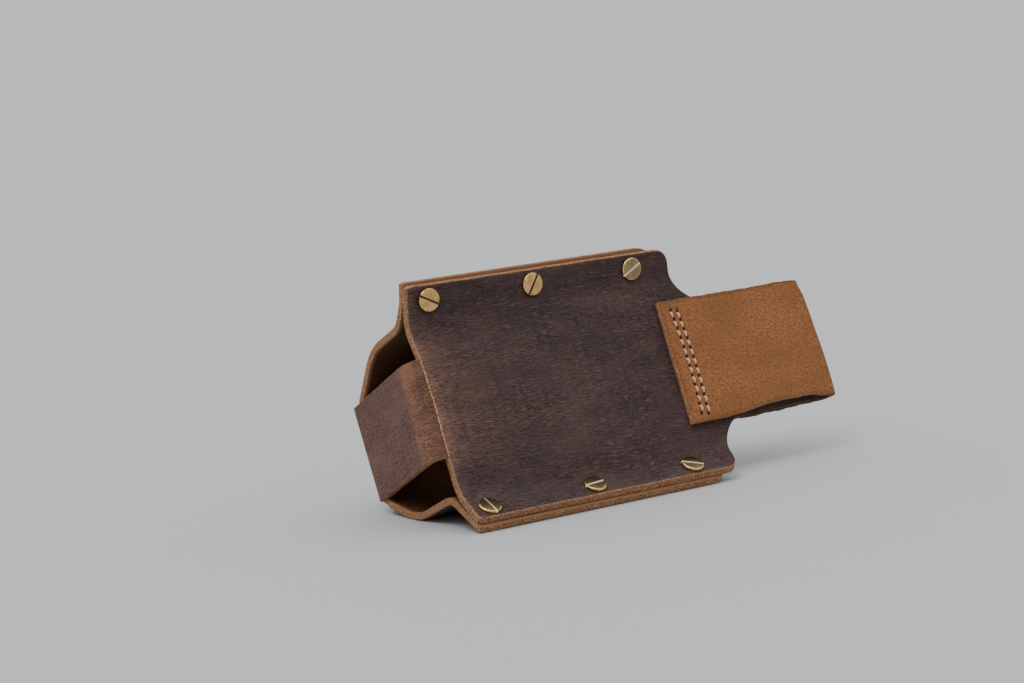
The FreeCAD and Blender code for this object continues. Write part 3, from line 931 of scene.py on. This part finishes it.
def grain_leather():
    """Waxed, dark brown grain with fine creases that run along the hide, paler where it is bent or worn, with
    painted shade in the crease valleys and a painted highlight on their crests.
    """
    n = Nodes("leather_grain")
    hide = n.attribute("hide")
    rim = n.attribute("rim", "Fac")
    pull = n.attribute("pull", "Fac")
    warp = n.noise(hide, (0.09, 0.16, 5.0), 2.0, output="Color")
    bent = n.add("ShaderNodeVectorMath", operation="MULTIPLY_ADD")
    n.join(warp, bent.inputs[0])
    bent.inputs[1].default_value = (0.0, 1.3, 0.0)
    n.join(hide, bent.inputs[2])
    lines = bent.outputs[0]
    creases = n.noise(lines, (0.20, 1.20, 3.0), 2.0, 0.55)
    folds = n.range(n.math("ABSOLUTE", n.math("SUBTRACT", creases, 0.5)), 0.0, 0.075)
    fine = n.noise(lines, (0.40, 2.6, 3.0), 3.0, 0.6)
    pores = n.cells(n.scaled(hide, (1.1, 1.6, 3.0)), 1.6)
    clouds = n.noise(hide, (0.022, 0.05, 2.0), 3.0, 0.55)
    blots = n.noise(hide, (0.07, 0.15, 2.0), 4.0, 0.6, shift=(7, 3, 0))
    where = n.range(n.noise(hide, (0.04, 0.07, 2.0), 2.0, shift=(2, 8, 0)), 0.32, 0.62, 0.35, 1.0)
    base = n.ramp(clouds, [(0.32, (0.036, 0.0205, 0.0215)), (0.52, (0.055, 0.0300, 0.0300)),
                           (0.72, (0.082, 0.0450, 0.0400))])
    base = n.mix(n.times(n.range(blots, 0.42, 0.72), 0.45), base, (0.105, 0.052, 0.036))
    worn = n.times(pull, n.range(blots, 0.25, 0.8, 0.6, 1.3))
    base = n.mix(n.math("MINIMUM", worn, 0.95), base, (0.270, 0.143, 0.088))
    # Painted highlight: the crests of the creases are lightened to a pale bluish tone, a painted reflection
    # of the backdrop on the wax.
    crests = n.times(n.range(creases, 0.52, 0.70), where)
    base = n.mix(n.times(crests, 0.30), base, (0.17, 0.112, 0.100))
    # Painted shade: the valleys of the creases are darkened towards near black.
    valleys = n.times(n.range(folds, 0.0, 0.55, 1.0, 0.0), where)
    base = n.mix(n.times(valleys, 0.80), base, (0.0120, 0.0060, 0.0060))
    rubbed = n.times(n.range(rim, 0.15, 1.6, 1.0, 0.0), n.range(fine, 0.35, 0.65, 0.15, 1.0))
    base = n.mix(n.times(rubbed, 0.40), base, (0.22, 0.12, 0.062))
    base = n.mix(n.range(rim, 0.10, 0.65, 0.75, 0.0), base, (0.29, 0.18, 0.115))
    piece = n.add("ShaderNodeSeparateXYZ")
    n.join(hide, piece.inputs[0])
    on_strap = n.range(piece.outputs[2], 2.5, 2.9)
    base = n.mix(on_strap, base, n.mix(1.0, base, (1.0, 0.85, 0.79), "MULTIPLY"))
    n.look("Base Color", base)
    rough = n.range(fine, 0.3, 0.7, 0.52, 0.70)
    n.look("Roughness", n.math("ADD", rough, n.times(valleys, 0.12)))
    n.look("Specular IOR Level", 0.24)
    n.look("Sheen Weight", 0.02)
    n.look("Sheen Roughness", 0.5)
    height = n.times(folds, where)
    deep = n.bump(height, 0.85, 0.25)
    soft = n.bump(creases, 0.75, 0.95, deep)
    small = n.bump(fine, 0.45, 0.22, soft)
    n.look("Normal", n.bump(pores, 0.20, 0.10, small))
    return n.material


def suede_leather(name, light, dark, depth, rim_share, rim_colour):
    """The flesh side: short tan nap with darker specks, another colour close to a cut edge, and painted shade
    in the stitch pits.
    """
    n = Nodes(name)
    hide = n.attribute("hide")
    rim = n.attribute("rim", "Fac")
    pit = n.attribute("pit", "Fac")
    flecks = n.noise(hide, (0.75, 0.95, 2.0), 4.0, 0.72)
    nap = n.noise(hide, (2.4, 2.9, 2.0), 3.0, 0.7)
    fibres = n.noise(hide, (0.5, 2.2, 2.0), 3.0, 0.6, 0.4, shift=(3, 9, 0))
    clouds = n.noise(hide, (0.045, 0.06, 2.0), 2.0)
    mid = tuple(0.5 * (a + b) for a, b in zip(light, dark))
    deep = tuple(0.30 * c for c in dark)
    colour = n.ramp(flecks, [(0.36, dark), (0.48, mid), (0.62, light)])
    colour = n.mix(n.range(clouds, 0.35, 0.65, 0.0, 0.45), colour, dark)
    colour = n.mix(n.times(n.range(nap, 0.54, 0.70), 0.70), colour, tuple(1.75 * c for c in light))
    colour = n.mix(n.times(n.range(nap, 0.30, 0.44, 1.0, 0.0), 0.65), colour, deep)
    colour = n.mix(n.times(n.range(fibres, 0.34, 0.45, 1.0, 0.0), 0.35), colour, deep)
    colour = n.mix(n.times(n.range(rim, 0.9, 2.0, 1.0, 0.0), rim_share), colour, rim_colour)
    # Painted shade: the stitch pits are darkened towards near black.
    colour = n.mix(n.range(pit, 0.22, 0.62), colour, (0.016, 0.007, 0.004))
    n.look("Base Color", colour)
    n.look("Roughness", 0.95)
    n.look("Specular IOR Level", 0.10)
    n.look("Sheen Weight", 0.06)
    n.look("Sheen Roughness", 0.6)
    n.look("Sheen Tint", (0.95, 0.62, 0.36, 1.0))
    first = n.bump(flecks, 0.8, depth)
    second = n.bump(nap, 0.8, 0.6 * depth, first)
    n.look("Normal", n.bump(fibres, 0.5, 0.7 * depth, second))
    return n.material


def cut_leather(name, shade):
    """A cut edge: tan fibres, dark in the pits."""
    n = Nodes(name)
    spot = n.add("ShaderNodeTexCoord").outputs["Object"]
    coarse = n.noise(spot, (1250, 1250, 1250), 4.0, 0.7)
    fine = n.noise(spot, (3400, 3400, 3400), 3.0, 0.7)
    broad = n.noise(spot, (110, 110, 110), 2.0)
    tones = [(0.34, (0.075, 0.032, 0.015)), (0.46, (0.25, 0.120, 0.058)),
             (0.58, (0.43, 0.240, 0.135)), (0.74, (0.58, 0.38, 0.25))]
    colour = n.ramp(coarse, [(at, tuple(min(1.0, shade * c) for c in tone)) for at, tone in tones])
    colour = n.mix(n.range(broad, 0.35, 0.7, 0.0, 0.45), colour, (0.29, 0.145, 0.068))
    colour = n.mix(n.times(n.range(fine, 0.30, 0.44, 1.0, 0.0), 0.6), colour, (0.035, 0.014, 0.006))
    # Painted shade: the lower cut edges of the loop past the neck are darkened towards near black.
    where = n.add("ShaderNodeSeparateXYZ")
    n.join(n.attribute("hide"), where.inputs[0])
    on_neck = n.range(where.outputs[0], 130.0, 142.0)
    before_tip = n.range(where.outputs[0], 186.0, 200.0, 1.0, 0.0)
    lower = n.range(where.outputs[1], -20.0, -8.0, 1.0, 0.0)
    underside_shade = n.times(n.times(on_neck, before_tip), lower)
    colour = n.mix(n.times(underside_shade, 0.8), colour, (0.045, 0.020, 0.009))
    n.look("Base Color", colour)
    n.look("Roughness", 0.9)
    n.look("Specular IOR Level", 0.15)
    first = n.bump(coarse, 0.8, 0.45)
    n.look("Normal", n.bump(fine, 0.6, 0.2, first))
    return n.material


def brass(name, tones):
    """Brass with faint brush marks and a little tarnish."""
    n = Nodes(name)
    turned = n.attribute("turned")
    marks = n.noise(turned, (9.0, 1.2, 1.0), 3.0, 0.6)
    stain = n.noise(turned, (0.5, 0.5, 0.5), 4.0, 0.65)
    colour = n.ramp(stain, list(zip((0.30, 0.48, 0.72), tones)))
    n.look("Base Color", colour)
    n.look("Metallic", 1.0)
    n.look("Roughness", n.range(stain, 0.3, 0.75, 0.24, 0.12))
    n.look("Normal", n.bump(marks, 0.22, 0.03))
    return n.material


def slot_brass(name, colour, metallic):
    """The walls and floor of a slot, left rough by the cutter, in a painted colour: a dark one is painted
    shade in the slot, a pale one a painted highlight on its walls.
    """
    n = Nodes(name)
    marks = n.noise(n.attribute("turned"), (3.0, 14.0, 3.0), 3.0, 0.6)
    tone = n.mix(n.range(marks, 0.3, 0.7, 0.0, 0.4), colour, tuple(0.6 * c for c in colour))
    n.look("Base Color", tone)
    n.look("Metallic", metallic)
    n.look("Roughness", n.range(marks, 0.3, 0.7, 0.45, 0.65))
    n.look("Normal", n.bump(marks, 0.2, 0.03))
    return n.material


def thread():
    """Waxed, pale pinkish thread of three twisted strands."""
    n = Nodes("thread_waxed")
    strand = n.attribute("strand")
    fibres = n.noise(strand, (6.0, 2.0, 1.0), 3.0, 0.6)
    tones = [(0.3, (0.45, 0.21, 0.12)), (0.55, (0.80, 0.48, 0.33)), (0.8, (0.95, 0.68, 0.52))]
    colour = n.ramp(fibres, tones)
    n.look("Base Color", colour)
    n.look("Roughness", 0.6)
    n.look("Sheen Weight", 0.1)
    n.look("Normal", n.bump(fibres, 0.5, 0.08))
    return n.material


def pale_floor():
    """Plain, matt, pale floor."""
    n = Nodes("pale_floor")
    n.look("Base Color", (0.485, 0.492, 0.50, 1.0))
    n.look("Roughness", 0.8)
    return n.material


# The pieces

grain = grain_leather()
suede = suede_leather("leather_suede", (0.36, 0.153, 0.062), (0.165, 0.063, 0.023), 0.42,
                      0.25, (0.050, 0.019, 0.007))
# A darker copy of the suede: painted shade of the pouch's inside, paler within about 2 mm of a cut edge.
flesh = suede_leather("leather_flesh_inside_shaded", (0.13, 0.058, 0.022), (0.050, 0.020, 0.008), 0.35,
                      0.85, (0.30, 0.150, 0.075))
edge = cut_leather("leather_cut_edge", 1.0)
pale_edge = cut_leather("leather_crease_edge", 1.55)
metal = brass("brass_polished", ((0.34, 0.195, 0.062), (0.62, 0.370, 0.130), (0.80, 0.53, 0.24)))
half_dull = brass("brass_half_tarnished", ((0.17, 0.125, 0.055), (0.27, 0.205, 0.095), (0.36, 0.28, 0.14)))
# Tarnished brass for the bottom row's faces, darkened further as a painted reflection of the dark leather
# they face.
tarnish_and_reflection = brass("brass_tarnish_and_dark_reflection", ((0.075, 0.060, 0.024), (0.115, 0.090, 0.038), (0.19, 0.15, 0.065)))
# Painted shade: a dark brown slot.
slot_shaded = slot_brass("brass_slot_shaded", (0.115, 0.066, 0.024), 0.2)
# Painted highlight: a near-white, barely metallic slot stands in for the light caught by the slot walls.
slot_highlight = slot_brass("brass_slot_painted_highlight", (0.97, 0.89, 0.68), 0.10)
waxed = thread()

back = back_hide([grain, suede, edge])
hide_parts("back_panel", "belt_loop", "belt_loop_end")
front = front_hide([grain, flesh, edge])
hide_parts("front_panel")
strap = strap_hide([grain, flesh, edge])
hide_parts("bottom_strap")

line = crease_line([pale_edge])
for obj in (front, strap, line):
    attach(obj, "pouch")
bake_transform(back)

for site in screw_sites():
    row_name = "top" if site[0] > 0 else "bottom"
    for kind, slotted in (("screw", True), ("post", False)):
        # The first two top screws get a slot of painted shade, the others a slot of painted highlight.
        slot_metal = slot_shaded if (site[0], site[1]) in SHADED_SLOTS else slot_highlight
        # The bottom row's faces get the tarnished brass that also holds a painted reflection of the dark
        # leather.
        face_metal = metal if (site[0], site[1]) in SHADED_SLOTS else (half_dull if site[0] > 0 else tarnish_and_reflection)
        looks = [metal, slot_metal, face_metal] if slotted else [metal]
        piece = head(f"{kind}_head_{row_name}_{site[1]}", site, slotted, looks)
        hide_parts(f"{kind}_{row_name}_{site[1]}")
        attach(piece, "pouch")
for row, node in enumerate(("seam_thread_outer", "seam_thread_inner")):
    piece = thread_row(f"stitches_{row + 1}", row, [waxed])
    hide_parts(node)
    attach(piece, "pouch")

# Floor, light and camera

floor_mesh = bpy.data.meshes.new("floor")
floor_mesh.from_pydata([(-30, -30, 0), (30, -30, 0), (30, 30, 0), (-30, 30, 0)], [], [(0, 1, 2, 3)])
floor_mesh.materials.append(pale_floor())
floor = bpy.data.objects.new("floor", floor_mesh)
link(floor)

world = bpy.data.worlds.new("studio")
bpy.context.scene.world = world
world.use_nodes = True
sky = world.node_tree.nodes["Background"]
sky.inputs["Color"].default_value = (0.97, 0.985, 1.0, 1.0)
up = world.node_tree.nodes.new("ShaderNodeSeparateXYZ")
around = world.node_tree.nodes.new("ShaderNodeTexCoord")
dome = world.node_tree.nodes.new("ShaderNodeMapRange")
dome.interpolation_type = "SMOOTHSTEP"
for key, number in zip(RANGE_INPUTS, (0.45, 0.9, 0.72, 1.65)):
    dome.inputs[key].default_value = number
world.node_tree.links.new(around.outputs["Generated"], up.inputs[0])
world.node_tree.links.new(up.outputs["Z"], dome.inputs["Value"])
world.node_tree.links.new(dome.outputs["Result"], sky.inputs["Strength"])


def sun(name, way, strength, spread, colour):
    """A distant soft light that comes from a direction."""
    data = bpy.data.lights.new(name, "SUN")
    data.energy = strength
    data.angle = math.radians(spread)
    data.color = colour
    lamp = bpy.data.objects.new(name, data)
    lamp.rotation_mode = "QUATERNION"
    lamp.rotation_quaternion = (-Vector(way)).to_track_quat("-Z", "Y")
    link(lamp)


sun("key", (-0.55, -0.35, 1.0), 0.80, 26, (1.0, 0.975, 0.94))

# The camera, in the row frame's metres
CAMERA_AZIMUTH = math.radians(-32.697)
CAMERA_ELEVATION = math.radians(6.980)
CAMERA_ROLL = math.radians(5.038)
CAMERA_DISTANCE = 1.01858
CAMERA_LENS = 92.08
CAMERA_TARGET = Vector((-0.05497, -0.02259, 0.06729))

back_way = Vector((math.sin(CAMERA_AZIMUTH) * math.cos(CAMERA_ELEVATION),
                   -math.cos(CAMERA_AZIMUTH) * math.cos(CAMERA_ELEVATION),
                   math.sin(CAMERA_ELEVATION)))
right = (-back_way).cross(Vector((0, 0, 1))).normalized()
down = (-back_way).cross(right)
cosine, sine = math.cos(CAMERA_ROLL), math.sin(CAMERA_ROLL)
right, down = right * cosine + down * sine, down * cosine - right * sine
camera_data = bpy.data.cameras.new("camera")
camera_data.sensor_width = 36.0
camera_data.lens = CAMERA_LENS
camera_data.clip_start, camera_data.clip_end = 0.01, 50.0
camera = bpy.data.objects.new("camera", camera_data)
camera.location = CAMERA_TARGET + back_way * CAMERA_DISTANCE
camera.rotation_mode = "QUATERNION"
turned = np.array([right, -down, back_way]).T
camera.rotation_quaternion = Matrix(turned.tolist()).to_quaternion()
link(camera)
bpy.context.scene.camera = camera

bpy.context.view_layer.update()
